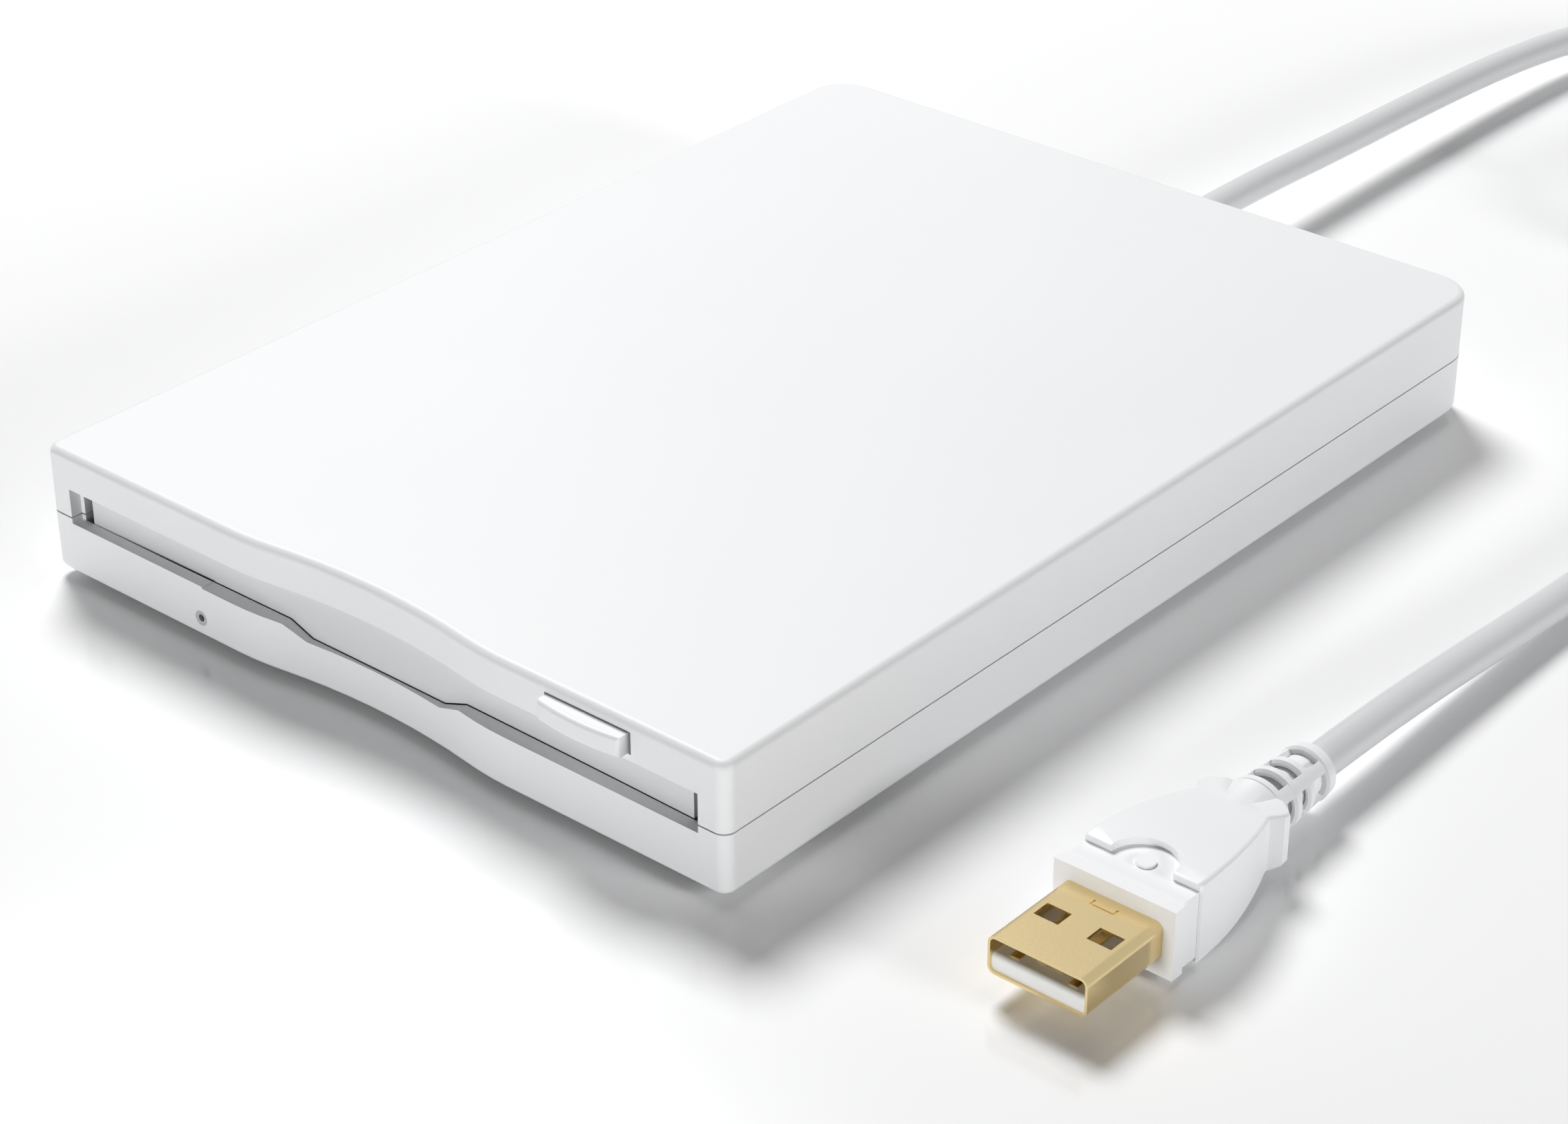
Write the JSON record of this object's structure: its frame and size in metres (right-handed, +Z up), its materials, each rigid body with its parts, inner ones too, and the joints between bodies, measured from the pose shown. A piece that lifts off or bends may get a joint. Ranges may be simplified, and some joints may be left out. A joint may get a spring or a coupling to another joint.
{
  "type": "external floppy disk drive",
  "caption": "Slim external floppy disk drive with a sprung slot flap, an eject button, a disk holder and head gear inside, and a cord with a flat plug.",
  "frame": {"origin": "centre of the drive's footprint at the table, cord left out", "axes": "+X to the right seen from the front, +Y from the front to the back, +Z up"},
  "size_m": [0.1459, 0.2734, 0.0171],
  "materials": {
    "case_plastic": "satin",
    "flap_plastic": "satin",
    "button_plastic": "satin",
    "lamp_plastic": "gloss",
    "lamp_core": "gloss",
    "rubber": "matte",
    "cord_jacket": "satin",
    "tie": "matte",
    "plug_plastic": "satin",
    "gold": "satin",
    "insulator": "satin",
    "black_plastic": "matte",
    "ceramic": "polished",
    "board_green": "solder mask",
    "flex": "gloss",
    "copper": "enamelled wire",
    "brass": "machined",
    "dark_steel": "dark",
    "aluminium": "satin",
    "steel": "zinc plated"
  },
  "bodies": {
    "case": {"board_chips": "black_plastic", "board_screws": "dark_steel", "board_socket": "black_plastic", "bottom_shell": "case_plastic", "capacitors": "aluminium", "case_screws": "dark_steel", "chassis": "steel", "chassis_screws": "dark_steel", "coil_tie": "tie", "cord_coil": "cord_jacket", "cord_from_case": "cord_jacket", "cord_header": "black_plastic", "cord_to_plug": "cord_jacket", "crystal": "aluminium", "eject_springs": "steel", "flap_pins": "steel", "flap_spring": "steel", "foot_front_left": "rubber", "foot_front_right": "rubber", "foot_rear_left": "rubber", "foot_rear_right": "rubber", "guide_rod": "steel", "inner_cord": "cord_jacket", "lamp": "lamp_core", "lamp_lens": "lamp_plastic", "lever_clip": "steel", "main_board": "board_green", "plug_block": "plug_plastic", "plug_contacts": "gold", "plug_hood": "plug_plastic", "plug_insulator": "insulator", "plug_relief": "plug_plastic", "plug_shell": "gold", "rear_cord_relief": "plug_plastic", "sensor_bodies": "black_plastic", "spindle_bearing": "brass", "spindle_flex": "flex", "stator_board": "board_green", "stator_coils": "copper", "stepper_motor": "steel", "top_shell": "case_plastic"},
    "flap": {"slot_flap": "flap_plastic"},
    "eject_gear": {"eject_button": "button_plastic", "eject_slider": "steel"},
    "holder": {"disk_holder": "steel", "holder_pins": "steel"},
    "lever": {"shutter_lever": "aluminium"},
    "spindle": {"spindle_rotor": "steel", "rotor_magnet": "dark_steel", "spindle_shaft": "steel", "drive_pin": "steel"},
    "carriage": {"head_carriage": "black_plastic", "lower_head": "ceramic", "arm_pin": "steel"},
    "head_arm": {"upper_head_arm": "black_plastic", "upper_head": "ceramic"},
    "screw": {"lead_screw": "brass"},
    "disk_plunger": {"disk_sensor_plunger": "ceramic"},
    "write_plunger": {"write_sensor_plunger": "ceramic"},
    "density_plunger": {"density_sensor_plunger": "ceramic"}
  },
  "joints": [
    {"name": "eject_press", "type": "slide", "parent": "case", "child": "eject_gear", "axis": [0, 1, 0], "range_m": [0, 0.0035], "stiffness_N_per_m": 200, "springref_m": -0.002},
    {"name": "holder_lift", "type": "slide", "parent": "case", "child": "holder", "axis": [0, 0, 1], "range_m": [0, 0.0012]},
    {"name": "flap_swing", "type": "hinge", "parent": "case", "child": "flap", "pos_m": [0, -0.06621, 0.0139], "axis": [1, 0, 0], "range_deg": [0, 85], "stiffness_Nm_per_rad": 0.001, "springref_deg": -17.19},
    {"name": "lever_turn", "type": "hinge", "parent": "case", "child": "lever", "pos_m": [-0.034, 0.03079, 0.0092], "axis": [0, 0, 1], "range_deg": [0, 20], "stiffness_Nm_per_rad": 0.001, "springref_deg": -11.46},
    {"name": "spindle_spin", "type": "hinge", "parent": "case", "child": "spindle", "pos_m": [0, -0.01821, 0.006], "axis": [0, 0, 1], "continuous": true},
    {"name": "head_travel", "type": "slide", "parent": "case", "child": "carriage", "axis": [0, 1, 0], "range_m": [0, 0.015]},
    {"name": "head_raise", "type": "hinge", "parent": "carriage", "child": "head_arm", "pos_m": [0, 0.03379, 0.0134], "axis": [-1, 0, 0], "range_deg": [0, 2.5]},
    {"name": "screw_turn", "type": "hinge", "parent": "case", "child": "screw", "pos_m": [-0.014, 0.03379, 0.009], "axis": [0, 1, 0], "range_deg": [0, 1800]},
    {"name": "disk_plunger_press", "type": "slide", "parent": "case", "child": "disk_plunger", "axis": [0, 0, -1], "range_m": [0, 0.0008], "stiffness_N_per_m": 50, "springref_m": -0.001},
    {"name": "write_plunger_press", "type": "slide", "parent": "case", "child": "write_plunger", "axis": [0, 0, -1], "range_m": [0, 0.0008], "stiffness_N_per_m": 50, "springref_m": -0.001},
    {"name": "density_plunger_press", "type": "slide", "parent": "case", "child": "density_plunger", "axis": [0, 0, -1], "range_m": [0, 0.0008], "stiffness_N_per_m": 50, "springref_m": -0.001}
  ],
  "couplings": [
    {"joint": "holder_lift", "follows": "eject_press", "ratio": 0.34286},
    {"joint": "head_raise", "follows": "eject_press", "rad_per_m": 12.466},
    {"joint": "screw_turn", "follows": "head_travel", "rad_per_m": 2094.4}
  ]
}
